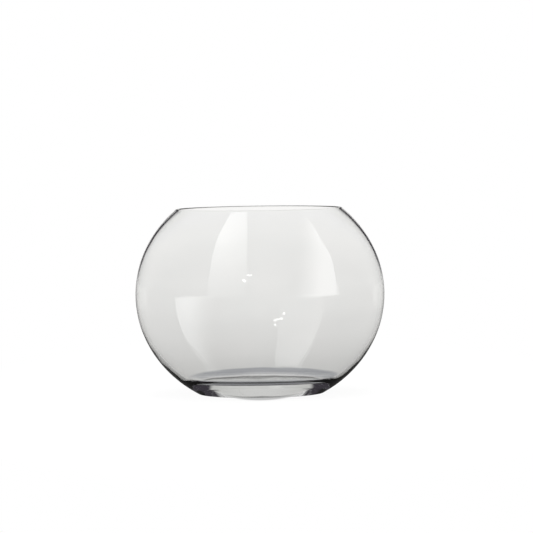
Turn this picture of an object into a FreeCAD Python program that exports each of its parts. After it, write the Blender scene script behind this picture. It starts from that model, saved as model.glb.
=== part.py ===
import FreeCAD, Part
import os

# Flattened rose bowl vase of clear blown glass: one piece, from the foot to the rim.
# The origin is the centre of the foot, on the surface that the vase stands on.
# X runs along the wide side, Y from the front face to the back face, Z up.
# The outside is two half ellipsoids that meet at the belly, the widest section. One runs
# down to the foot and the other up to the rim, each cut level there. The inside is made
# the same way, with a wall of its own at the ends, the faces, the rim and the heel, as
# blown glass is thin where it was stretched most and thick at its foot and rim.

# The name of each driving size, its value in millimetres, and what it is
SIZES = [
    ("belly_width", 250.0, "outer width at the belly"),
    ("belly_depth", 105.0, "outer depth at the belly, from the front face to the back face"),
    ("belly_level", 100.0, "height of the belly above the foot"),
    ("rim_width", 165.0, "outer width at the rim"),
    ("foot_width", 126.0, "outer width at the foot"),
    ("total_height", 187.5, "height of the rim above the foot"),
    ("end_wall", 1.3, "wall at the two narrow ends of the belly"),
    ("face_wall", 2.0, "wall at the middle of the front and back faces"),
    ("rim_wall", 3.7, "width of the ground rim, at its two narrow ends"),
    ("heel_wall", 8.0, "glass beside the inside floor, at its two narrow ends"),
    ("floor_thickness", 14.5, "glass between the foot's plane and the inside floor"),
    ("floor_rounding", 12.0, "radius where the inside floor turns up into the wall"),
    ("rim_rounding", 0.6, "radius of the two edges of the ground rim"),
    ("foot_rounding", 1.5, "radius of the outer edge of the foot"),
    ("ring_width", 3.0, "width of the flat ring that the vase stands on"),
    ("hollow_depth", 0.8, "rise of the shallow hollow inside that ring"),
]

LEVEL_TOLERANCE = 0.001  # how far an edge may lie from a height and still be at it

# How an ellipsoid narrows: where its width is a share of the belly's, its latitude is the
# angle with that cosine, and its height over the belly is its half height times the sine.
FOOT_LATITUDE = "acos(sizes.foot_width / sizes.belly_width)"
RIM_LATITUDE = "acos(sizes.rim_width / sizes.belly_width)"
SHOULDER_HEIGHT = "(sizes.total_height - sizes.belly_level)"


def make_sheet(doc):
    """The driving sizes, a row for each: its name, its value and what it is."""
    sheet = doc.addObject("Spreadsheet::Sheet", "sizes")
    for row, (name, value, meaning) in enumerate(SIZES, start=1):
        sheet.set("A%d" % row, name)
        sheet.set("B%d" % row, str(value))
        sheet.set("C%d" % row, meaning)
        sheet.setAlias("B%d" % row, name)
    doc.recompute()
    return sheet


def lay_on_base_plane(body, feature, level):
    """Set a feature on the body's own base plane, lifted to the height level."""
    planes = [item for item in body.Origin.OriginFeatures if item.Role == "XY_Plane"]
    feature.AttachmentSupport = [(planes[0], "")]
    feature.MapMode = "FlatFace"
    feature.setExpression("AttachmentOffset.Base.z", level)


def add_ellipsoid(body, kind, name, half_sizes, level, latitudes):
    """Add an ellipsoid whose centre is on the Z axis at the height level, or take it away.
    half_sizes run along X, Y and Z. It is cut flat at the two latitudes."""
    ellipsoid = body.newObject("PartDesign::" + kind, name)
    lay_on_base_plane(body, ellipsoid, level)
    along_x, along_y, along_z = half_sizes
    ellipsoid.setExpression("Radius2", along_x)
    ellipsoid.setExpression("Radius3", along_y)
    ellipsoid.setExpression("Radius1", along_z)
    lowest, highest = latitudes
    ellipsoid.setExpression("Angle1", lowest)
    ellipsoid.setExpression("Angle2", highest)
    body.Document.recompute()
    return ellipsoid


def cut_level(body, name, level, reach):
    """Saw the form off flat: take away a box from the height level up, as far as reach."""
    saw = body.newObject("PartDesign::SubtractiveBox", name)
    lay_on_base_plane(body, saw, level)
    saw.setExpression("AttachmentOffset.Base.x", "-sizes.belly_width / 2")
    saw.setExpression("AttachmentOffset.Base.y", "-sizes.belly_depth / 2")
    saw.setExpression("Length", "sizes.belly_width")
    saw.setExpression("Width", "sizes.belly_depth")
    saw.setExpression("Height", reach)
    body.Document.recompute()
    return saw


def edges_at(shape, height):
    """The names of the shape's edges that lie level at this height."""
    names = []
    for number, edge in enumerate(shape.Edges, start=1):
        ends = (edge.BoundBox.ZMin, edge.BoundBox.ZMax)
        if all(abs(end - height) < LEVEL_TOLERANCE for end in ends):
            names.append("Edge%d" % number)
    return names


def add_rounding(body, name, base, height, radius):
    """Round the edges of the feature base that lie level at this height."""
    rounding = body.newObject("PartDesign::Fillet", name)
    rounding.Base = (base, edges_at(base.Shape, height))
    rounding.setExpression("Radius", radius)
    body.Document.recompute()
    return rounding


def half_height(height, latitude):
    """The half height of an ellipsoid that reaches this latitude at this height."""
    return "%s / sin(%s)" % (height, latitude)


def make_outside(body):
    """The outer form: two half ellipsoids, sawn off level at the foot and at the rim."""
    half_width = "sizes.belly_width / 2"
    half_depth = "sizes.belly_depth / 2"
    below = half_height("sizes.belly_level", FOOT_LATITUDE)
    above = half_height(SHOULDER_HEIGHT, RIM_LATITUDE)
    add_ellipsoid(
        body, "AdditiveEllipsoid", "outside_below", (half_width, half_depth, below),
        "sizes.belly_level", ("-90", "0"))
    add_ellipsoid(
        body, "AdditiveEllipsoid", "outside_above", (half_width, half_depth, above),
        "sizes.belly_level", ("0", "90"))
    cut_level(body, "foot_face", "-" + below, below)
    rim_face = cut_level(body, "rim_face", "sizes.total_height", above)
    return add_rounding(body, "foot_edge", rim_face, 0, "sizes.foot_rounding")


def make_inside(body, sheet):
    """The space for water and stems, with its floor and rim rounded. Above the belly it
    runs on past the rim to its own pole, so that it opens the rim cleanly."""
    half_width = "(sizes.belly_width / 2 - sizes.end_wall)"
    half_depth = "(sizes.belly_depth / 2 - sizes.face_wall)"
    floor_drop = "(sizes.belly_level - sizes.floor_thickness)"
    outer_drop = half_height("sizes.belly_level", FOOT_LATITUDE)
    outer_half = "sizes.belly_width / 2 * cos(asin(%s / (%s)))" % (floor_drop, outer_drop)
    floor_latitude = "acos((%s - sizes.heel_wall) / %s)" % (outer_half, half_width)
    mouth_latitude = "acos((sizes.rim_width / 2 - sizes.rim_wall) / %s)" % half_width
    add_ellipsoid(
        body, "SubtractiveEllipsoid", "inside_below",
        (half_width, half_depth, half_height(floor_drop, floor_latitude)),
        "sizes.belly_level", ("-" + floor_latitude, "0"))
    inside = add_ellipsoid(
        body, "SubtractiveEllipsoid", "inside_above",
        (half_width, half_depth, half_height(SHOULDER_HEIGHT, mouth_latitude)),
        "sizes.belly_level", ("0", "90"))
    floor_edge = add_rounding(
        body, "floor_edge", inside, sheet.floor_thickness, "sizes.floor_rounding")
    return add_rounding(
        body, "rim_edges", floor_edge, sheet.total_height, "sizes.rim_rounding")


def make_hollow(body):
    """The hollow under the foot: the top of a low, wide ellipsoid centred on the foot's
    plane. It leaves a flat ring round it, which the vase stands on."""
    margin = "(sizes.foot_rounding + sizes.ring_width)"
    half_width = "sizes.foot_width / 2"
    half_depth = "sizes.belly_depth / 2 * sizes.foot_width / sizes.belly_width"
    return add_ellipsoid(
        body, "SubtractiveEllipsoid", "hollow",
        (half_width + " - " + margin, half_depth + " - " + margin, "sizes.hollow_depth"),
        "0", ("-90", "90"))


def make_glass_bowl(doc, sheet):
    """The whole vase. Each feature is named for what it makes on the glass."""
    body = doc.addObject("PartDesign::Body", "glass_bowl")
    body.Label = "glass_bowl"
    make_outside(body)
    make_inside(body, sheet)
    make_hollow(body)
    return body


def check_document(doc):
    """Stop if any object failed to compute."""
    for item in doc.Objects:
        if "Invalid" in item.State or "Error" in item.State:
            raise RuntimeError("%s failed: %s" % (item.Name, item.State))


def check_open_at(part, height):
    """Stop if a cut left glass on the Z axis at this height."""
    if part.Shape.isInside(FreeCAD.Vector(0, 0, height), LEVEL_TOLERANCE, True):
        raise RuntimeError("%s is filled at height %.2f" % (part.Label, height))


def export_part(part):
    """Check one finished sub-part and write its STEP file."""
    shape = part.Shape
    if shape.isNull() or not shape.isValid():
        raise RuntimeError("%s has no valid shape" % part.Label)
    box = shape.optimalBoundingBox()
    print("%s: %d solid, %.0f cubic mm, %.1f x %.1f x %.1f mm, lowest point %.2f" % (
        part.Label, len(shape.Solids), shape.Volume,
        box.XLength, box.YLength, box.ZLength, box.ZMin))
    shape.exportStep("parts/%s.step" % part.Label)


def main():
    os.makedirs("parts", exist_ok=True)
    doc = FreeCAD.newDocument("rose_bowl_vase")
    sheet = make_sheet(doc)
    glass_bowl = make_glass_bowl(doc, sheet)
    doc.recompute()
    check_document(doc)
    for height in (sheet.belly_level, sheet.total_height, sheet.hollow_depth / 2):
        check_open_at(glass_bowl, height)
    export_part(glass_bowl)


main()
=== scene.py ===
# %% [markdown]
# # A rose bowl vase of clear blown glass
# The real vase is one piece of glass: a flattened oval bowl, 250 mm wide and 105 mm deep,
# with a thin wall, a thick flat foot and a wide open rim that was cut, ground and polished.
# Glass shows nothing of its own. All that the eye sees is what it bends and mirrors, so the
# lesson spends its care on the exact shape of both sides of the wall, and on what stands
# around the vase: a white table, a lit backdrop, dark flags and two tall soft boxes.

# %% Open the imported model
import math
import bpy
from mathutils import Matrix


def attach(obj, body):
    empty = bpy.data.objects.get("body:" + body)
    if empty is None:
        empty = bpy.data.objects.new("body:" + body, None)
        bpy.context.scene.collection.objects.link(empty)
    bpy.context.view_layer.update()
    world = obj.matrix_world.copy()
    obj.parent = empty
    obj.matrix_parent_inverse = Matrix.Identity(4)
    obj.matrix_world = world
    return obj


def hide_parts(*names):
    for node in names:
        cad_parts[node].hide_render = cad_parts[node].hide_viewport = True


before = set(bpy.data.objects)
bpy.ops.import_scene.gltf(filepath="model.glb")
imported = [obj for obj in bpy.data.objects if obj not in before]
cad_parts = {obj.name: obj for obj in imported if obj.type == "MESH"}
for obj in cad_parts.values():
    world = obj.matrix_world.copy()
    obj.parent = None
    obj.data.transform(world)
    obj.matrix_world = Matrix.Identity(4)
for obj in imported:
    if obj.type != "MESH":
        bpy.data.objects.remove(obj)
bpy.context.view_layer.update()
print("solids:", sorted(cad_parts))

# %% [markdown]
# ## The camera
# A long lens from well back keeps the bowl's oval free of distortion. The camera stands a
# little above the rim and looks down by about six degrees, so that the rim shows as a very
# flat oval. The place, the tilt and the slight roll were worked out from the outline.

# %% Place the camera
FRAME_PIXELS = 533
FOCAL_PIXELS = 1404.3  # the focal length, in pixels of the frame
SENSOR_WIDTH = 36.0  # mm
CAMERA_PLACE = (0, -1.4, 0.286)
TURN, TILT_DOWN, ROLL = -0.00492, 0.1119, -0.01337  # radians

camera = bpy.data.objects.new("camera", bpy.data.cameras.new("camera"))
bpy.context.scene.collection.objects.link(camera)
bpy.context.scene.camera = camera
camera.data.sensor_width = SENSOR_WIDTH
camera.data.lens = FOCAL_PIXELS / FRAME_PIXELS * SENSOR_WIDTH
turn = Matrix.Rotation(TURN, 4, "Z")
tilt = Matrix.Rotation(math.pi / 2 - TILT_DOWN, 4, "X")
roll = Matrix.Rotation(ROLL, 4, "Z")
camera.matrix_world = Matrix.Translation(CAMERA_PLACE) @ turn @ tilt @ roll
print("lens: %.2f mm" % camera.data.lens)

# %% [markdown]
# ## Two helpers
# Every node tree below is written in the script. One function adds a node: it makes the
# settings, then fills each input with a number or a link. Colours are written as the hex
# values that a colour picker shows, and one function turns them into the linear values that
# the renderer counts in.

# %% A function that adds a node, and one for colours


def add_node(tree, kind, inputs=(), **settings):
    """Add a node. inputs is a list in the sockets' order, or a dict by name or number. A value
    in it that is a node or a socket is linked, and None leaves the input as it is."""
    node = tree.nodes.new(kind)
    for name, value in settings.items():
        setattr(node, name, value)
    pairs = inputs.items() if isinstance(inputs, dict) else enumerate(inputs)
    for key, value in pairs:
        if isinstance(value, bpy.types.Node):
            value = next(out for out in value.outputs if out.enabled)
        if isinstance(value, bpy.types.NodeSocket):
            tree.links.new(value, node.inputs[key])
        elif value is not None:
            node.inputs[key].default_value = value
    return node


def linear(hex_code):
    """The linear colour of an sRGB hex value, with full opacity."""
    shares = [int(hex_code[i:i + 2], 16) / 255 for i in (1, 3, 5)]
    return [
        s / 12.92 if s <= 0.04045 else ((s + 0.055) / 1.055) ** 2.4 for s in shares] + [1.0]


print("middle grey:", [round(v, 3) for v in linear("#808080")])

# %% [markdown]
# ## The sizes of the glass
# Blown glass is thin where it was stretched most and thick where it gathered. At the belly
# the wall is under two millimetres, at the rim nearly four, and the foot is a solid block
# with a slightly raised hollow under it, so that only a narrow ring touches the table.
# Both sides of the wall are ellipsoids, one from the belly down and one from the belly up.

# %% Write down the sizes
# In metres
BELLY_WIDTH, BELLY_DEPTH, BELLY_LEVEL = 0.250, 0.105, 0.100
TOTAL_HEIGHT, RIM_WIDTH, FOOT_WIDTH = 0.1875, 0.165, 0.126
END_WALL, FACE_WALL, RIM_WALL, HEEL_WALL = 0.0013, 0.0020, 0.0037, 0.0080
FLOOR_THICKNESS = 0.0145
FLOOR_ROUNDING, RIM_ROUNDING, FOOT_ROUNDING = 0.0120, 0.0006, 0.0015
RING_WIDTH, HOLLOW_DEPTH = 0.0030, 0.0008


def half_height(height, share):
    """The half height of an ellipsoid that is this share of its full width at this height."""
    return height / math.sqrt(1 - share ** 2)


shoulder = TOTAL_HEIGHT - BELLY_LEVEL
floor_drop = BELLY_LEVEL - FLOOR_THICKNESS
outside = [BELLY_WIDTH / 2, BELLY_DEPTH / 2]
inside = [outside[0] - END_WALL, outside[1] - FACE_WALL]
outside_below = outside + [half_height(BELLY_LEVEL, FOOT_WIDTH / BELLY_WIDTH)]
outside_above = outside + [half_height(shoulder, RIM_WIDTH / BELLY_WIDTH)]
heel = outside[0] * math.sqrt(1 - (floor_drop / outside_below[2]) ** 2) - HEEL_WALL
inside_below = inside + [half_height(floor_drop, heel / inside[0])]
inside_above = inside + [half_height(shoulder, (RIM_WIDTH / 2 - RIM_WALL) / inside[0])]
foot_share = FOOT_WIDTH / BELLY_WIDTH
hollow = [half * foot_share - FOOT_ROUNDING - RING_WIDTH for half in outside] + [HOLLOW_DEPTH]
print("half heights, mm:", [round(1000 * form[2], 1) for form in (
    outside_below, outside_above, inside_below, inside_above)])

# %% [markdown]
# ## Where a rounding meets the wall
# The foot, the rim and the inside floor are flat, and each turns into the wall in a rounding.
# Think of a ball that rolls in the corner between the flat and the wall: its surface is the
# rounding. The wall's slope differs all the way round an oval, so the place where the ball
# touches has no simple formula. It is found by trying: guess a height, look at the wall's
# slope there, correct the height, and again. A repeat zone does that a dozen times for every
# point of the mesh at once, and by then the error is far below a thousandth of a millimetre.

# %% Node group: the contact of a ball with the wall
TRIES = 12


def new_group(name, inputs, outputs):
    """A new geometry tree with named sockets, and its input and output nodes."""
    tree = bpy.data.node_groups.new(name, "GeometryNodeTree")
    for label, kind in inputs:
        tree.interface.new_socket(label, in_out="INPUT", socket_type="NodeSocket" + kind)
    for label, kind in outputs:
        tree.interface.new_socket(label, in_out="OUTPUT", socket_type="NodeSocket" + kind)
    return tree, add_node(tree, "NodeGroupInput"), add_node(tree, "NodeGroupOutput")


contact_group, given, result = new_group(
    "contact of a ball",
    [("Around", "Vector"), ("Half Sizes", "Vector"), ("Side", "Float"), ("Height", "Float"),
     ("Radius", "Float"), ("Way", "Float")],
    [("Direction", "Vector"), ("Normal", "Vector"), ("Ball Centre", "Vector")])
given = given.outputs
axes = add_node(contact_group, "ShaderNodeSeparateXYZ", [given["Half Sizes"]])
reach = add_node(
    contact_group, "ShaderNodeMath", [given["Height"], given["Radius"]], operation="SUBTRACT")
offset = add_node(
    contact_group, "ShaderNodeMath", [given["Radius"], given["Way"]], operation="MULTIPLY")
first = add_node(
    contact_group, "ShaderNodeMath", [reach, axes.outputs["Z"]], operation="DIVIDE")

repeat_end = add_node(contact_group, "GeometryNodeRepeatOutput")
repeat_end.repeat_items.clear()
for kind, label in (("FLOAT", "Sine"), ("VECTOR", "Direction"), ("VECTOR", "Normal")):
    repeat_end.repeat_items.new(kind, label)
repeat_start = add_node(contact_group, "GeometryNodeRepeatInput")
repeat_start.pair_with_output(repeat_end)
repeat_start.inputs["Iterations"].default_value = TRIES
contact_group.links.new(first.outputs[0], repeat_start.inputs["Sine"])

sine = repeat_start.outputs["Sine"]
latitude = add_node(contact_group, "ShaderNodeMath", [sine], operation="ARCSINE")
cosine = add_node(contact_group, "ShaderNodeMath", [latitude], operation="COSINE")
level_part = add_node(
    contact_group, "ShaderNodeVectorMath", {"Vector": given["Around"], "Scale": cosine},
    operation="SCALE")
upright = add_node(
    contact_group, "ShaderNodeMath", [sine, given["Side"]], operation="MULTIPLY")
upright_part = add_node(contact_group, "ShaderNodeCombineXYZ", {"Z": upright})
direction = add_node(
    contact_group, "ShaderNodeVectorMath", [level_part, upright_part], operation="ADD")
slope = add_node(
    contact_group, "ShaderNodeVectorMath", [direction, given["Half Sizes"]], operation="DIVIDE")
normal = add_node(contact_group, "ShaderNodeVectorMath", [slope], operation="NORMALIZE")
normal_axes = add_node(contact_group, "ShaderNodeSeparateXYZ", [normal])
lean = add_node(
    contact_group, "ShaderNodeMath", [normal_axes.outputs["Z"]], operation="ABSOLUTE")
lift = add_node(contact_group, "ShaderNodeMath", [lean, offset], operation="MULTIPLY")
rest_of_way = add_node(contact_group, "ShaderNodeMath", [reach, lift], operation="SUBTRACT")
better = add_node(
    contact_group, "ShaderNodeMath", [rest_of_way, axes.outputs["Z"]], operation="DIVIDE")
for value, label in ((better, "Sine"), (direction, "Direction"), (normal, "Normal")):
    contact_group.links.new(value.outputs[0], repeat_end.inputs[label])

touching = add_node(
    contact_group, "ShaderNodeVectorMath",
    [repeat_end.outputs["Direction"], given["Half Sizes"]], operation="MULTIPLY")
step_off = add_node(
    contact_group, "ShaderNodeVectorMath",
    {"Vector": repeat_end.outputs["Normal"], "Scale": offset}, operation="SCALE")
ball_centre = add_node(
    contact_group, "ShaderNodeVectorMath", [touching, step_off], operation="ADD")
contact_group.links.new(repeat_end.outputs["Direction"], result.inputs["Direction"])
contact_group.links.new(repeat_end.outputs["Normal"], result.inputs["Normal"])
contact_group.links.new(ball_centre.outputs[0], result.inputs["Ball Centre"])
print("contact group:", len(contact_group.nodes), "nodes")

# %% [markdown]
# ## Bands of glass surface
# The whole skin of the vase is one long strip of bands, from the middle of the hollow, out
# over the foot, up the outside, over the rim and down the inside to the middle of the floor.
# A curved band swings an arm from one direction to another about its centre, and stretches
# it by the three half sizes: a sphere gives a rounding, an ellipsoid gives the wall. A flat
# band goes straight from one point to the next. Each band starts as a plain grid, whose rows
# run along the strip and whose columns run round the vase.

# %% Node groups: a curved band and a flat band


def start_band(name, inputs):
    """A group that makes a grid, with each point's share of the way along the band."""
    tree, given_node, result_node = new_group(
        name, inputs + [("Rows", "Int"), ("Columns", "Int")], [("Band", "Geometry")])
    sockets = given_node.outputs
    lines = add_node(tree, "ShaderNodeMath", [sockets["Rows"], 1], operation="ADD")
    per_row = add_node(tree, "ShaderNodeMath", [sockets["Columns"], 1], operation="ADD")
    grid = add_node(
        tree, "GeometryNodeMeshGrid", {"Vertices X": lines, "Vertices Y": per_row})
    index = add_node(tree, "GeometryNodeInputIndex")
    lines_before = add_node(tree, "ShaderNodeMath", [index, per_row], operation="DIVIDE")
    row = add_node(tree, "ShaderNodeMath", [lines_before], operation="FLOOR")
    share = add_node(tree, "ShaderNodeMath", [row, sockets["Rows"]], operation="DIVIDE")
    return tree, sockets, result_node, grid, share


def end_band(tree, grid, place, result_node):
    """Move the grid's points to their places."""
    laid = add_node(tree, "GeometryNodeSetPosition", {"Geometry": grid, "Position": place})
    tree.links.new(laid.outputs[0], result_node.inputs["Band"])


curved_group, given, result, grid, share = start_band(
    "curved band",
    [("Centre", "Vector"), ("Half Sizes", "Vector"), ("From", "Vector"), ("To", "Vector")])
likeness = add_node(
    curved_group, "ShaderNodeVectorMath", [given["From"], given["To"]],
    operation="DOT_PRODUCT")
whole_angle = add_node(
    curved_group, "ShaderNodeMath", [likeness.outputs["Value"]], operation="ARCCOSINE")
angle = add_node(curved_group, "ShaderNodeMath", [whole_angle, share], operation="MULTIPLY")
hinge = add_node(
    curved_group, "ShaderNodeVectorMath", [given["From"], given["To"]],
    operation="CROSS_PRODUCT")
arm = add_node(
    curved_group, "ShaderNodeVectorRotate",
    {"Vector": given["From"], "Axis": hinge, "Angle": angle}, rotation_type="AXIS_ANGLE")
stretched = add_node(
    curved_group, "ShaderNodeVectorMath", [arm, given["Half Sizes"]], operation="MULTIPLY")
place = add_node(
    curved_group, "ShaderNodeVectorMath", [stretched, given["Centre"]], operation="ADD")
end_band(curved_group, grid, place, result)

flat_group, given, result, grid, share = start_band(
    "flat band", [("Start", "Vector"), ("End", "Vector")])
place = add_node(
    flat_group, "ShaderNodeMix", {"Factor": share, 4: given["Start"], 5: given["End"]},
    data_type="VECTOR")
end_band(flat_group, grid, place, result)
print("band groups:", len(curved_group.nodes), "and", len(flat_group.nodes), "nodes")

# %% [markdown]
# ## The bowl's tree
# A blower's mould gives both sides of the wall a simple rule, so the bowl is a tree and not
# a hand-pushed mesh: its inputs are the half sizes and roundings. The direction round the
# vase comes from a point's column. Twelve bands are joined, and the points where they meet
# are merged, which also closes the seam and the two poles.

# %% Build the tree of the whole bowl
COLUMNS = 360
WALL_ROWS = 45
MERGE_DISTANCE = 0.000001
CREASE_ANGLE = math.radians(40)

bowl_tree, given, result = new_group(
    "blown bowl",
    [("Outside Below", "Vector"), ("Outside Above", "Vector"), ("Inside Below", "Vector"),
     ("Inside Above", "Vector"), ("Hollow", "Vector"), ("Belly Level", "Float"),
     ("Shoulder Height", "Float"), ("Floor Drop", "Float"), ("Foot Rounding", "Float"),
     ("Rim Rounding", "Float"), ("Floor Rounding", "Float"), ("Columns", "Int"),
     ("Wall Rows", "Int"), ("Glass", "Material")],
    [("Bowl", "Geometry")])
given = given.outputs

index = add_node(bowl_tree, "GeometryNodeInputIndex")
per_row = add_node(bowl_tree, "ShaderNodeMath", [given["Columns"], 1], operation="ADD")
column = add_node(bowl_tree, "ShaderNodeMath", [index, per_row], operation="MODULO")
turn_share = add_node(
    bowl_tree, "ShaderNodeMath", [column, given["Columns"]], operation="DIVIDE")
azimuth = add_node(
    bowl_tree, "ShaderNodeMath", [turn_share, 2 * math.pi], operation="MULTIPLY")
around_x = add_node(bowl_tree, "ShaderNodeMath", [azimuth], operation="COSINE")
around_y = add_node(bowl_tree, "ShaderNodeMath", [azimuth], operation="SINE")
around = add_node(bowl_tree, "ShaderNodeCombineXYZ", [around_x, around_y, 0])
up = add_node(bowl_tree, "ShaderNodeCombineXYZ", [0, 0, 1])
down = add_node(bowl_tree, "ShaderNodeCombineXYZ", [0, 0, -1])
belly = add_node(bowl_tree, "ShaderNodeCombineXYZ", [0, 0, given["Belly Level"]])

# Each corner: the wall that it belongs to, +1 above the belly or -1 below, the flat's
# distance from the belly, the radius, and on which side of the wall its ball rolls.
corners = {}
for name, wall, side, height, radius, way in (
        ("foot", "Outside Below", -1, "Belly Level", "Foot Rounding", -1),
        ("outer rim", "Outside Above", 1, "Shoulder Height", "Rim Rounding", -1),
        ("inner rim", "Inside Above", 1, "Shoulder Height", "Rim Rounding", 1),
        ("floor", "Inside Below", -1, "Floor Drop", "Floor Rounding", -1)):
    contact = add_node(
        bowl_tree, "GeometryNodeGroup", node_tree=contact_group, label=name)
    for label, value in (("Around", around.outputs[0]), ("Half Sizes", given[wall]),
                         ("Height", given[height]), ("Radius", given[radius])):
        bowl_tree.links.new(value, contact.inputs[label])
    contact.inputs["Side"].default_value = side
    contact.inputs["Way"].default_value = way
    ball = add_node(
        bowl_tree, "ShaderNodeVectorMath", [contact.outputs["Ball Centre"], belly],
        operation="ADD")
    pole = add_node(
        bowl_tree, "ShaderNodeVectorMath", {"Vector": up if side > 0 else down,
                                            "Scale": given[radius]}, operation="SCALE")
    corners[name] = {
        "meets": contact.outputs["Direction"], "faces": contact.outputs["Normal"],
        "ball": ball, "size": given[radius],
        "flat": add_node(bowl_tree, "ShaderNodeVectorMath", [ball, pole], operation="ADD")}

hollow_edge = add_node(
    bowl_tree, "ShaderNodeVectorMath", [around, given["Hollow"]], operation="MULTIPLY")
floor_level = add_node(
    bowl_tree, "ShaderNodeMath", [given["Belly Level"], given["Floor Drop"]],
    operation="SUBTRACT")
floor_middle = add_node(bowl_tree, "ShaderNodeCombineXYZ", [0, 0, floor_level])
into_glass = add_node(
    bowl_tree, "ShaderNodeVectorMath", {"Vector": corners["inner rim"]["faces"], "Scale": -1},
    operation="SCALE")
foot, outer_rim, inner_rim, floor = (
    corners[name] for name in ("foot", "outer rim", "inner rim", "floor"))
wall_rows = given["Wall Rows"]

# Each curved band: its centre, its half sizes, the arm's first and last direction and its
# rows. Each flat band: its two ends and its rows.
bands = [
    ("hollow", (0, 0, 0), given["Hollow"], up, around, 16),
    ("ring", hollow_edge, foot["flat"], 3),
    ("foot rounding", foot["ball"], foot["size"], down, foot["faces"], 8),
    ("outside below", belly, given["Outside Below"], foot["meets"], around, wall_rows),
    ("outside above", belly, given["Outside Above"], around, outer_rim["meets"], wall_rows),
    ("outer rim rounding", outer_rim["ball"], outer_rim["size"], outer_rim["faces"], up, 6),
    ("rim", outer_rim["flat"], inner_rim["flat"], 3),
    ("inner rim rounding", inner_rim["ball"], inner_rim["size"], up, into_glass, 6),
    ("inside above", belly, given["Inside Above"], inner_rim["meets"], around, wall_rows),
    ("inside below", belly, given["Inside Below"], around, floor["meets"], wall_rows),
    ("floor rounding", floor["ball"], floor["size"], floor["faces"], down, 16),
    ("floor", floor["flat"], floor_middle, 12),
]
joined = add_node(bowl_tree, "GeometryNodeJoinGeometry")
for name, *values in bands:
    group = curved_group if len(values) == 5 else flat_group
    band = add_node(
        bowl_tree, "GeometryNodeGroup", node_tree=group, label=name)
    for number, value in enumerate(values + [given["Columns"]]):
        if isinstance(value, bpy.types.Node):
            value = value.outputs[0]
        if isinstance(value, bpy.types.NodeSocket):
            bowl_tree.links.new(value, band.inputs[number])
        else:
            band.inputs[number].default_value = value
    bowl_tree.links.new(band.outputs[0], joined.inputs[0])

merged = add_node(
    bowl_tree, "GeometryNodeMergeByDistance",
    {"Geometry": joined, "Distance": MERGE_DISTANCE})
outwards = add_node(bowl_tree, "GeometryNodeFlipFaces", [merged])
edge_angle = add_node(bowl_tree, "GeometryNodeInputMeshEdgeAngle")
crease = add_node(
    bowl_tree, "FunctionNodeCompare", [edge_angle.outputs[0], CREASE_ANGLE],
    operation="GREATER_THAN")
smooth = add_node(
    bowl_tree, "GeometryNodeSetShadeSmooth", {"Geometry": outwards, "Shade Smooth": True})
creased = add_node(
    bowl_tree, "GeometryNodeSetShadeSmooth",
    {"Geometry": smooth, "Selection": crease, "Shade Smooth": False}, domain="EDGE")
coated = add_node(
    bowl_tree, "GeometryNodeSetMaterial", {"Geometry": creased, "Material": given["Glass"]})
bowl_tree.links.new(coated.outputs[0], result.inputs["Bowl"])
print("bowl tree:", len(bowl_tree.nodes), "nodes,", len(bands), "bands")

# %% [markdown]
# ## Clear soda-lime glass
# The common glass of vases: soda-lime, blown into a mould and fire polished. It is colourless,
# and its greys come only from what it bends and mirrors. Molten glass never sets quite flat,
# so the surface swells and sinks by a few hundredths of a millimetre over three to four
# centimetres, which makes the edges of reflections wander. No mould touches the inside, so it
# swells more, by up to a quarter of a millimetre.

# %% Start the glass and let its surface swell
GLASS_IOR = 1.52
WAVE_SPACING, WAVE_HEIGHT = 0.036, 0.00004
INNER_WAVE_SPACING, INNER_WAVE_HEIGHT = 0.028, 0.00025
INSIDE_SHARE, OUTSIDE_SHARE = 0.991, 0.995  # the wall's two sides lie below and above these

glass = bpy.data.materials.new("clear_soda_lime_glass")
glass.use_nodes = True
tree = glass.node_tree
shader = tree.nodes["Principled BSDF"]
shader.inputs["IOR"].default_value = GLASS_IOR
shader.inputs["Transmission Weight"].default_value = 1.0
place = add_node(tree, "ShaderNodeTexCoord").outputs["Object"]

waves = add_node(
    tree, "ShaderNodeTexNoise", {"Vector": place, "Scale": 1 / WAVE_SPACING, "Detail": 1.0})
swell = add_node(
    tree, "ShaderNodeBump", {"Distance": WAVE_HEIGHT, "Height": waves.outputs[0]})

# How far out a place lies: 0 in the middle of the belly, 1 on the outside of the wall
from_belly = add_node(
    tree, "ShaderNodeVectorMath", [place, (0, 0, BELLY_LEVEL)], operation="SUBTRACT")
in_half_sizes = add_node(
    tree, "ShaderNodeVectorMath", [from_belly, outside_above], operation="DIVIDE")
way_out = add_node(
    tree, "ShaderNodeVectorMath", [in_half_sizes], operation="LENGTH").outputs["Value"]
on_inside = add_node(
    tree, "ShaderNodeMapRange", [way_out, INSIDE_SHARE, OUTSIDE_SHARE, 1.0, 0.0])
inner_waves = add_node(
    tree, "ShaderNodeTexNoise",
    {"Vector": place, "Scale": 1 / INNER_WAVE_SPACING, "Detail": 1.0})
inner_swell = add_node(
    tree, "ShaderNodeBump",
    {"Strength": on_inside, "Distance": INNER_WAVE_HEIGHT, "Height": inner_waves.outputs[0],
     "Normal": swell})
tree.links.new(inner_swell.outputs[0], shader.inputs["Normal"])
print("glass so far:", len(tree.nodes), "nodes")

# %% [markdown]
# ## Haze, grinding and wear
# Handling and washing leave a faint haze that varies over some centimetres. The rim was cut
# level, ground and polished, and keeps a trace of the grinding wheel. The ring under the foot
# is dull from standing on tables.

# %% Add the haze and the dull parts
HAZE_SPACING = 0.045
CLEAR, FAINT_GREY = linear("#ffffff"), linear("#fbfcfc")
GRIND_SPACING = 0.0006  # between the marks that the wheel left
RIM_DULLNESS, RING_DULLNESS = 0.25, 0.30
WORN_HEIGHT = 0.00015  # how far up from the ring the wear reaches

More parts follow.
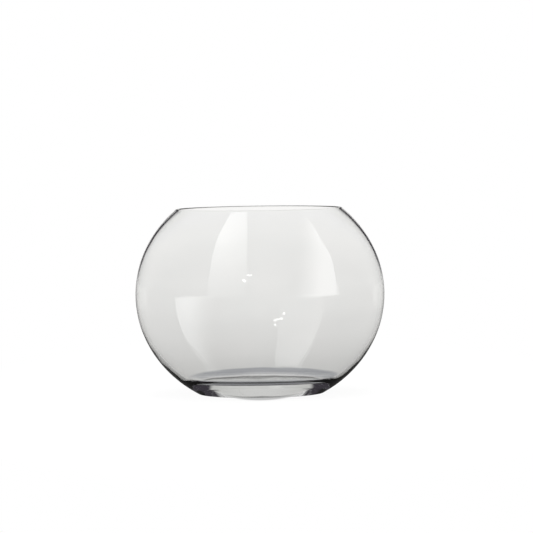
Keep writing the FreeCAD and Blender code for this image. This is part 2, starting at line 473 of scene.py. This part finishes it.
haze = add_node(
    tree, "ShaderNodeTexNoise", {"Vector": place, "Scale": 1 / HAZE_SPACING, "Detail": 4.0})
tint = add_node(
    tree, "ShaderNodeMix", {"Factor": haze.outputs[0], 6: CLEAR, 7: FAINT_GREY},
    data_type="RGBA")
tree.links.new(tint.outputs["Result"], shader.inputs["Base Color"])

grind = add_node(
    tree, "ShaderNodeTexNoise", {"Vector": place, "Scale": 1 / GRIND_SPACING, "Detail": 2.0})
height = add_node(tree, "ShaderNodeSeparateXYZ", [place]).outputs["Z"]
ground_rim = add_node(
    tree, "ShaderNodeMapRange",
    [height, TOTAL_HEIGHT - 2 * RIM_ROUNDING, TOTAL_HEIGHT - RIM_ROUNDING / 2,
     0.0, RIM_DULLNESS])
worn_ring = add_node(
    tree, "ShaderNodeMapRange", [height, WORN_HEIGHT, 0.0, 0.0, RING_DULLNESS])
dull_parts = add_node(tree, "ShaderNodeMath", [ground_rim, worn_ring], operation="MAXIMUM")
dullness = add_node(tree, "ShaderNodeMath", [dull_parts, grind], operation="MULTIPLY")
tree.links.new(dullness.outputs[0], shader.inputs["Roughness"])
print("glass:", len(tree.nodes), "nodes")

# %% [markdown]
# ## The finished bowl
# The tree runs once. Its result is copied to a plain mesh, which stands for the solid, and
# the helper with the modifier is removed.

# %% Run the tree and keep its mesh
maker = bpy.data.objects.new("bowl_maker", bpy.data.meshes.new("bowl_maker"))
bpy.context.scene.collection.objects.link(maker)
modifier = maker.modifiers.new("bowl", "NODES")
modifier.node_group = bowl_tree
values = {
    "Outside Below": outside_below, "Outside Above": outside_above,
    "Inside Below": inside_below, "Inside Above": inside_above, "Hollow": hollow,
    "Belly Level": BELLY_LEVEL, "Shoulder Height": shoulder, "Floor Drop": floor_drop,
    "Foot Rounding": FOOT_ROUNDING, "Rim Rounding": RIM_ROUNDING,
    "Floor Rounding": FLOOR_ROUNDING, "Columns": COLUMNS, "Wall Rows": WALL_ROWS,
    "Glass": glass,
}
for socket in bowl_tree.interface.items_tree:
    if socket.in_out == "INPUT":
        modifier[socket.identifier] = values[socket.name]

evaluated = maker.evaluated_get(bpy.context.evaluated_depsgraph_get())
bowl_mesh = bpy.data.meshes.new_from_object(evaluated)
bpy.data.objects.remove(maker)
bowl = bpy.data.objects.new("bowl_body", bowl_mesh)
bpy.context.scene.collection.objects.link(bowl)
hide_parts("glass_bowl")
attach(bowl, "root")
volume = sum(
    face.center.dot(face.normal) * face.area for face in bowl_mesh.polygons) / 3
print("bowl:", len(bowl_mesh.vertices), "points,", len(bowl_mesh.polygons), "faces,",
      round(volume * 1e6, 1), "millilitres of glass")

# %% [markdown]
# ## Helpers for the set
# The table, the lamps and the backdrop are the set. The table and the lamps are flat sheets.
# A colour ramp turns a distance or an angle into a tone, and one helper fills in its stops.

# %% Functions for sheets, empty materials and ramp stops
BLACK, WHITE = "#000000", "#ffffff"


def add_sheet(name, outline, material):
    """A flat sheet with this outline, which is part of the set and not of the vase."""
    mesh = bpy.data.meshes.new(name)
    mesh.from_pydata(outline, [], [tuple(range(len(outline)))])
    mesh.materials.append(material)
    sheet = bpy.data.objects.new(name, mesh)
    bpy.context.scene.collection.objects.link(sheet)
    return sheet


def start_material(name):
    """A new material whose node tree is empty, and that tree."""
    material = bpy.data.materials.new(name)
    material.use_nodes = True
    material.node_tree.nodes.clear()
    return material, material.node_tree


def set_stops(ramp_node, stops, lowest, highest):
    """Give a colour ramp its stops, each a value between the two limits and a hex colour."""
    items = ramp_node.color_ramp.elements
    while len(items) < len(stops):
        items.new(1.0)
    for item, (value, code) in zip(items, stops):
        item.position = (value - lowest) / (highest - lowest)
        item.color = linear(code)


print("helpers: add_sheet, start_material, set_stops")

# %% [markdown]
# ## The tone of the open table
# A white table top that runs far back, with painted shade. The vase keeps light off the table
# round its foot, so the table is painted darker there and lighter with the distance, which
# shades the glass from the foot up to the rim. A soft grey painted shade lies behind the foot
# and shows through the glass as the grey band above it. It bulges a little, as a shade on a
# real table does, so a slow noise moves its edge. In front of the foot there is no such shade.

# %% Work out the open table's tone at each place
TONE_REACH = 3.2
SHADE_CENTRE = (0.006, 0.0, 0.0)
SHADE_WAVE, SHADE_WAVE_SPACING = 0.006, 0.05
SHADE_END = 0.02  # it fades out from this far behind the middle to this far in front
SHADE_LENGTH = 0.06  # how far along the tones it is skipped there
TABLE_TONES = [
    (0.000, "#cdccca"), (0.030, "#c8c7c8"), (0.042, "#a8a8ac"), (0.055, "#a0a1a5"),
    (0.077, "#a2a3a6"), (0.080, "#d2d1cf"), (0.130, "#d7d6d4"), (0.190, "#dfdedc"),
    (0.330, "#e9e8e6"), (0.530, "#f2f1ef"), (0.800, "#f6f5f3"), (1.300, "#faf9f7"),
    (2.000, "#fffefc"), (3.200, "#fffefd")]

table_material, tree = start_material("white_table_top")
place = add_node(tree, "ShaderNodeTexCoord").outputs["Object"]
axes = add_node(tree, "ShaderNodeSeparateXYZ", [place]).outputs
from_centre = add_node(
    tree, "ShaderNodeVectorMath", [place, SHADE_CENTRE], operation="SUBTRACT")
distance = add_node(
    tree, "ShaderNodeVectorMath", [from_centre], operation="LENGTH").outputs["Value"]
uneven = add_node(
    tree, "ShaderNodeTexNoise",
    {"Vector": place, "Scale": 1 / SHADE_WAVE_SPACING, "Detail": 0.0})
wave = add_node(
    tree, "ShaderNodeMapRange",
    [uneven.outputs[0], 0.0, 1.0, -SHADE_WAVE / 2, SHADE_WAVE / 2])
wavy_distance = add_node(tree, "ShaderNodeMath", [distance, wave], operation="ADD")
in_front = add_node(
    tree, "ShaderNodeMapRange", [axes["Y"], SHADE_END, -SHADE_END, 0.0, SHADE_LENGTH])
past_shade = add_node(tree, "ShaderNodeMath", [wavy_distance, in_front], operation="ADD")
along = add_node(tree, "ShaderNodeMath", [past_shade, TONE_REACH], operation="DIVIDE")
open_tone = add_node(tree, "ShaderNodeValToRGB", [along])
set_stops(open_tone, TABLE_TONES, 0.0, TONE_REACH)
print("table tones:", len(TABLE_TONES))

# %% [markdown]
# ## The table under the foot
# Painted light: light reaches the table under the foot through the thick glass, more at the
# back.
# The foot is an oval of the same form as the belly. Squeezed along its wide side it becomes
# a circle, and then the distance from the middle tells what lies under the foot.

# %% Work out the tone under the foot
UNDER_FRONT, UNDER_BACK = "#8f9096", "#cac9c7"
UNDER_REACH = 0.0265  # half the depth of the foot
UNDER_EDGE = 1.08  # where the tone under the foot has ended, as a share of the reach
UNDER_TURN = (-0.7 * UNDER_REACH, 0.4 * UNDER_REACH)  # from front tone to back tone

oval_place = add_node(
    tree, "ShaderNodeVectorMath", [place, (BELLY_DEPTH / BELLY_WIDTH, 1, 0)],
    operation="MULTIPLY")
oval_distance = add_node(
    tree, "ShaderNodeVectorMath", [oval_place], operation="LENGTH").outputs["Value"]
under_foot = add_node(
    tree, "ShaderNodeMapRange",
    [oval_distance, UNDER_REACH, UNDER_REACH * UNDER_EDGE, 1.0, 0.0])
to_back = add_node(tree, "ShaderNodeMapRange", [axes["Y"], *UNDER_TURN, 0.0, 1.0])
under_tone = add_node(
    tree, "ShaderNodeMix", {"Factor": to_back, 6: linear(UNDER_FRONT), 7: linear(UNDER_BACK)},
    data_type="RGBA")
table_tone = add_node(
    tree, "ShaderNodeMix", {"Factor": under_foot, 6: open_tone, 7: under_tone},
    data_type="RGBA").outputs["Result"]
print("table material so far:", len(tree.nodes), "nodes")

# %% [markdown]
# ## How much light the table sends
# Seen straight through the glass, the table has its full tone, a little more in the middle
# than at the sides. What the glass mirrors is darker. It lies mostly in front of the vase,
# where little light falls. The outside of the glass also mirrors the table close to the foot
# and the far table, which are darker still. A ray that was mirrored again, inside the wall or
# the thick heel, has lost most of its light, which helps to draw the dark line round a glass.
# Light Path counts a ray's mirrorings as Glossy Depth and its ways through the surface as
# Transmission Depth.

# %% Work out the strength for straight and for mirrored rays
# Painted light and shade: the table's glow is set by place and by kind of ray, not by lamps
SIDE_ANGLE = math.radians(16)
MIDDLE_LIGHT, SIDE_LIGHT = 1.02, 0.98
DEEP_LIGHT = 0.30
# Each fall: from which place to which it reaches, and from which strength to which it goes
FRONT_FALL = (0.03, -0.20, 0.85, 0.15)
BACK_FALL = (0.01, 0.04, 1.0, 0.60)
FOOT_FALL = (0.20, 0.10, 1.0, 0.25)
FAR_FALL = (0.20, 0.40, 1.0, 0.30)

light_path = add_node(tree, "ShaderNodeLightPath").outputs
mirrorings = light_path["Glossy Depth"]
mirrored = add_node(tree, "ShaderNodeMath", [mirrorings, 1.0], operation="MINIMUM")
in_glass = add_node(
    tree, "ShaderNodeMath", [light_path["Transmission Depth"], 1.0], operation="MINIMUM")
by_front = add_node(tree, "ShaderNodeMapRange", [axes["Y"], *FRONT_FALL])
by_back = add_node(tree, "ShaderNodeMapRange", [axes["Y"], *BACK_FALL])
by_foot = add_node(tree, "ShaderNodeMapRange", [distance, *FOOT_FALL])
by_distance = add_node(tree, "ShaderNodeMapRange", [distance, *FAR_FALL])
by_place = add_node(tree, "ShaderNodeMath", [by_back, by_foot], operation="MULTIPLY")
from_outside = add_node(tree, "ShaderNodeMath", [by_place, by_distance], operation="MULTIPLY")
either_side = add_node(
    tree, "ShaderNodeMix", {"Factor": in_glass, 2: from_outside, 3: 1.0}, data_type="FLOAT")
once = add_node(tree, "ShaderNodeMath", [by_front, either_side], operation="MULTIPLY")
often = add_node(tree, "ShaderNodeMapRange", [mirrorings, 1.0, 2.0, 1.0, DEEP_LIGHT])
mirrored_light = add_node(tree, "ShaderNodeMath", [once, often], operation="MULTIPLY")
light = add_node(
    tree, "ShaderNodeMix", {"Factor": mirrored, 2: 1.0, 3: mirrored_light},
    data_type="FLOAT")
aside = add_node(tree, "ShaderNodeMath", [axes["X"], axes["Y"]], operation="ARCTAN2")
to_side = add_node(tree, "ShaderNodeMath", [aside], operation="ABSOLUTE")
side_fall = add_node(
    tree, "ShaderNodeMapRange", [to_side, 0.0, SIDE_ANGLE, MIDDLE_LIGHT, SIDE_LIGHT])
strength = add_node(tree, "ShaderNodeMath", [light, side_fall], operation="MULTIPLY")
behind_glass = add_node(tree, "ShaderNodeEmission", [table_tone, strength])
print("table material so far:", len(tree.nodes), "nodes")

# %% [markdown]
# ## The table as the camera sees it
# The open table is plain white, which is the picture's ground. A small part of it is a real
# diffuse surface, and carries the vase's own soft shadow. Right under the round of the foot,
# and a little past its front, a narrow contact shadow is painted into the white, which makes
# the vase stand on the table.

# %% Finish the table and lay it
TABLE_GAP = 0.0001  # the air between the foot's ring and the table
TABLE_REACH = 8.0
TABLE_WHITE = "#f4f4f4"
SHADOW_SHARE, SHADOW_REACH = 0.06, 0.35
CONTACT_CENTRE = (0.0, -0.004, 0.0)
CONTACT_TONE, CONTACT_EDGE = 0.54, (0.0295, 0.0355)

# Painted contact shadow: the white's strength drops to CONTACT_TONE round the foot
to_contact = add_node(
    tree, "ShaderNodeVectorMath", [place, CONTACT_CENTRE],
    operation="DISTANCE").outputs["Value"]
contact = add_node(
    tree, "ShaderNodeMapRange", [to_contact, *CONTACT_EDGE, CONTACT_TONE, 1.0])
white = add_node(tree, "ShaderNodeEmission", [linear(WHITE), contact])
lit = add_node(tree, "ShaderNodeBsdfDiffuse", [linear(TABLE_WHITE)])
shadow_share = add_node(
    tree, "ShaderNodeMapRange", [distance, 0.0, SHADOW_REACH, SHADOW_SHARE, 0.0])
seen = add_node(tree, "ShaderNodeMixShader", [shadow_share, white, lit])
look = add_node(
    tree, "ShaderNodeMixShader", [light_path["Is Camera Ray"], behind_glass, seen])
add_node(tree, "ShaderNodeOutputMaterial", [look])
add_sheet("table_top", [
    (x * TABLE_REACH, y * TABLE_REACH, -TABLE_GAP)
    for x, y in ((-1, -1), (1, -1), (1, 1), (-1, 1))], table_material)
print("table:", len(tree.nodes), "nodes,", 2 * TABLE_REACH, "m wide")

# %% [markdown]
# ## The set behind and beside the vase
# Photographers show glass by what stands behind it. A lit backdrop fills the middle. Next to
# it stand dark flags, which are boards of black cloth. The thick edges and the heel of the
# glass bend them into view, and they draw its dark outline. The world does both. Its tone
# follows the direction of a ray, so the first thing it needs are two angles: how far to the
# side, and how high.

# %% Start the world with its angles
TOP_LIFT = 0.42  # how much higher the backdrop reaches, for each degree to the side
FAN_START, FAN_RATE = 33.0, 0.9  # above this height the backdrop also spreads sideways

world = bpy.data.worlds.new("studio")
bpy.context.scene.world = world
world.use_nodes = True
tree = world.node_tree
tree.nodes.clear()
way = add_node(tree, "ShaderNodeTexCoord").outputs["Generated"]
parts = add_node(tree, "ShaderNodeSeparateXYZ", [way]).outputs
side = add_node(tree, "ShaderNodeMath", [parts["X"], parts["Y"]], operation="ARCTAN2")
side_degrees = add_node(tree, "ShaderNodeMath", [side], operation="DEGREES")
to_side = add_node(tree, "ShaderNodeMath", [side_degrees], operation="ABSOLUTE")
rise = add_node(tree, "ShaderNodeMath", [parts["Z"]], operation="ARCSINE")
height = add_node(tree, "ShaderNodeMath", [rise], operation="DEGREES")
top_lift = add_node(tree, "ShaderNodeMath", [to_side, TOP_LIFT], operation="MULTIPLY")
below_top = add_node(tree, "ShaderNodeMath", [height, top_lift], operation="SUBTRACT")
above_fan = add_node(tree, "ShaderNodeMath", [height, FAN_START], operation="SUBTRACT")
upwards = add_node(tree, "ShaderNodeMath", [above_fan, 0.0], operation="MAXIMUM")
fan = add_node(tree, "ShaderNodeMath", [upwards, FAN_RATE], operation="MULTIPLY")
fanned = add_node(tree, "ShaderNodeMath", [to_side, fan], operation="SUBTRACT")
from_middle = add_node(tree, "ShaderNodeMath", [fanned, 0.0], operation="MAXIMUM")
print("world angles:", len(tree.nodes), "nodes")

# %% [markdown]
# ## The tones of the set
# Each part of the set has a tone by one angle, in degrees: 0 is straight back or level, and
# 90 is at the side or overhead. Where a part has two tones by two angles, they are multiplied.
# The backdrop is brightest at its foot, weaker above, and ends well over the vase. Past it
# come the dark flags, then a weak light at each side, a soft light overhead, and the bright
# ceiling.

# %% Give every part of the set its tone
LOWEST_ANGLE, HIGHEST_ANGLE = -90.0, 180.0
TONES = {
    "backdrop": (from_middle, [(0, WHITE), (4, WHITE), (17, "#f1f1f0"), (19.5, BLACK)]),
    "backdrop low": (height, [(4, "#fffefc"), (9.5, "#cfcfcd")]),
    "backdrop top": (below_top, [(33.5, WHITE), (35.5, "#999999")]),
    "flags": (from_middle, [(17, BLACK), (19.5, "#7c7c7c")]),
    "flags high": (height, [(2, WHITE), (7, "#756e7c")]),
    "side light": (to_side, [(45, BLACK), (51, "#8c8c8a"), (74, "#8c8c8a"), (84, BLACK)]),
    "side light high": (height, [(10, "#6c6c6c"), (20, WHITE)]),
    "overhead": (height, [(38, BLACK), (52, "#b4b4b2")]),
    "ceiling": (height, [(60, BLACK), (63.5, "#cbcbc9")]),
    "room": (to_side, [(45, BLACK), (55, "#c8c8c6")]),
}
tone = {}
for name, (angle, stops) in TONES.items():
    share = add_node(
        tree, "ShaderNodeMapRange", [angle, LOWEST_ANGLE, HIGHEST_ANGLE, 0.0, 1.0])
    tone[name] = add_node(tree, "ShaderNodeValToRGB", [share], label=name)
    set_stops(tone[name], stops, LOWEST_ANGLE, HIGHEST_ANGLE)
print("tones of the set:", ", ".join(tone))

# %% [markdown]
# ## Put the set together
# The side light and the light overhead only shine on the outside of the glass. The room
# behind the camera is seen straight through it from other sides, and not mirrored: the lamps
# stand there. The camera itself sees a plain white ground.

# %% Add the parts up and finish the world
light_path = add_node(tree, "ShaderNodeLightPath").outputs
mirrorings = light_path["Glossy Depth"]
inside_glass = add_node(
    tree, "ShaderNodeMath", [mirrorings, light_path["Transmission Depth"]],
    operation="MULTIPLY")
outside_glass = add_node(tree, "ShaderNodeMath", [inside_glass, 1.0], operation="LESS_THAN")
straight = add_node(tree, "ShaderNodeMath", [mirrorings, 1.0], operation="LESS_THAN")
low_backdrop = add_node(
    tree, "ShaderNodeVectorMath", [tone["backdrop"], tone["backdrop low"]],
    operation="MULTIPLY")
backdrop = add_node(
    tree, "ShaderNodeVectorMath", [low_backdrop, tone["backdrop top"], tone["ceiling"]],
    operation="MULTIPLY_ADD")
with_flags = add_node(
    tree, "ShaderNodeVectorMath", [tone["flags"], tone["flags high"], backdrop],
    operation="MULTIPLY_ADD")
outer_light = add_node(
    tree, "ShaderNodeVectorMath",
    [tone["side light"], tone["side light high"], tone["overhead"]],
    operation="MULTIPLY_ADD")
with_outer = add_node(
    tree, "ShaderNodeVectorMath", [outer_light, outside_glass, with_flags],
    operation="MULTIPLY_ADD")
whole = add_node(
    tree, "ShaderNodeVectorMath", [tone["room"], straight, with_outer],
    operation="MULTIPLY_ADD")
set_light = add_node(tree, "ShaderNodeBackground", [whole, 1.0])
white_ground = add_node(tree, "ShaderNodeBackground", [linear(WHITE), 1.0])
world_look = add_node(
    tree, "ShaderNodeMixShader", [light_path["Is Camera Ray"], set_light, white_ground])
add_node(tree, "ShaderNodeOutputWorld", [world_look])
print("world:", len(tree.nodes), "nodes")

# %% [markdown]
# ## The soft boxes
# Two tall soft boxes stand a metre in front. The left one is an upright box, brightest at its
# outer edge. The right one is turned away, so that it fades to its inner side and ends in a
# narrow strip. They show as two bright reflections that follow the belly's curve, and once
# more, upside down, where the back wall mirrors them. Only mirrored light sees them: straight
# through the glass they are clear, as the real ones stood outside that view.

# %% Stand the two soft boxes
BOX_DISTANCE = 1.0
LEFT_BOX = [(-0.455, 0.0), (-0.105, 0.0), (-0.115, 0.6), (-0.16, 1.4), (-0.42, 1.4)]
RIGHT_BOX = [
    (0.22, 0.0), (0.82, 0.0), (0.83, 0.5), (0.76, 0.8), (0.80, 1.6), (0.62, 1.6)]


def show_when_mirrored(tree, strength):
    """A glowing face that only mirrored light sees, and that is clear to any other."""
    glow = add_node(tree, "ShaderNodeEmission", [linear(WHITE), strength])
    clear = add_node(tree, "ShaderNodeBsdfTransparent")
    mirrorings = add_node(tree, "ShaderNodeLightPath").outputs["Glossy Depth"]
    mirrored = add_node(tree, "ShaderNodeMath", [mirrorings, 1.0], operation="MINIMUM")
    shown = add_node(tree, "ShaderNodeMixShader", [mirrored, clear, glow])
    add_node(tree, "ShaderNodeOutputMaterial", [shown])


def hide_from_camera(sheet):
    """Let a lamp's face be mirrored and seen through glass, and nothing else."""
    sheet.visible_camera = False
    sheet.visible_diffuse = False
    sheet.visible_shadow = False


# Each box: how its strength changes from one height to another, how far its inner edge leans
# to the side for each metre up, and how its strength changes across it. A change is two
# places and the strengths at them.
for name, outline, by_height, lean, by_side in (
        ("left_soft_box", LEFT_BOX, (0.0, 0.65, 0.35, 1.75), 0.0, (-0.40, 0.10, 1.0, 0.45)),
        ("right_soft_box", RIGHT_BOX, (0.0, 1.5, 1.90, 0.90), 0.25, (0.22, 0.58, 0.0, 1.0))):
    cloth, tree = start_material(name + "_cloth")
    place = add_node(tree, "ShaderNodeTexCoord").outputs["Object"]
    axes = add_node(tree, "ShaderNodeSeparateXYZ", [place]).outputs
    up_the_box = add_node(tree, "ShaderNodeMapRange", [axes["Z"], *by_height])
    offset = add_node(tree, "ShaderNodeMath", [axes["Z"], lean], operation="MULTIPLY")
    sideways = add_node(tree, "ShaderNodeMath", [axes["X"], offset], operation="SUBTRACT")
    across = add_node(
        tree, "ShaderNodeMapRange", [sideways, *by_side], interpolation_type="SMOOTHSTEP")
    strength = add_node(tree, "ShaderNodeMath", [up_the_box, across], operation="MULTIPLY")
    show_when_mirrored(tree, strength)
    hide_from_camera(add_sheet(name, [(x, -BOX_DISTANCE, z) for x, z in outline], cloth))
print("soft boxes: 2, at", BOX_DISTANCE, "m")

# %% [markdown]
# ## The small lamps and the overhead lamp
# Two small bare lamps low between the boxes give the two bright specks near the middle of
# the belly. A broad lamp overhead lights the table's diffuse share and gives the vase its
# soft shadow. The glass doesn't mirror it.

# %% Hang the lamps
SPECK_RADIUS, SPECK_STRENGTH = 0.011, 9.0
SPECK_DISTANCE = 0.99  # just in front of the soft boxes
SPECK_PLACES = [(-0.128, 0.167), (-0.092, 0.212)]
SPECK_SIDES = 8
LAMP_HEIGHT, LAMP_SIZE, LAMP_POWER = 2.0, 1.2, 55.0

lamp_glass, tree = start_material("small_lamp_glass")
show_when_mirrored(tree, SPECK_STRENGTH)
for number, (x, z) in enumerate(SPECK_PLACES, start=1):
    turns = [2 * math.pi * step / SPECK_SIDES for step in range(SPECK_SIDES)]
    hide_from_camera(add_sheet("small_lamp_%d" % number, [
        (x + SPECK_RADIUS * math.cos(turn), -SPECK_DISTANCE,
         z + SPECK_RADIUS * math.sin(turn)) for turn in turns], lamp_glass))

lamp = bpy.data.objects.new("overhead_lamp", bpy.data.lights.new("overhead_lamp", "AREA"))
bpy.context.scene.collection.objects.link(lamp)
lamp.location = (0, 0, LAMP_HEIGHT)
lamp.data.size = LAMP_SIZE
lamp.data.energy = LAMP_POWER
lamp.visible_glossy = False
lamp.visible_transmission = False
print("lamps:", len(SPECK_PLACES), "small and 1 overhead")

# %% [markdown]
# ## Finish
# The view transform is the plain one, at which white stays white.

# %% Set the view transform
bpy.context.scene.view_settings.view_transform = "Standard"
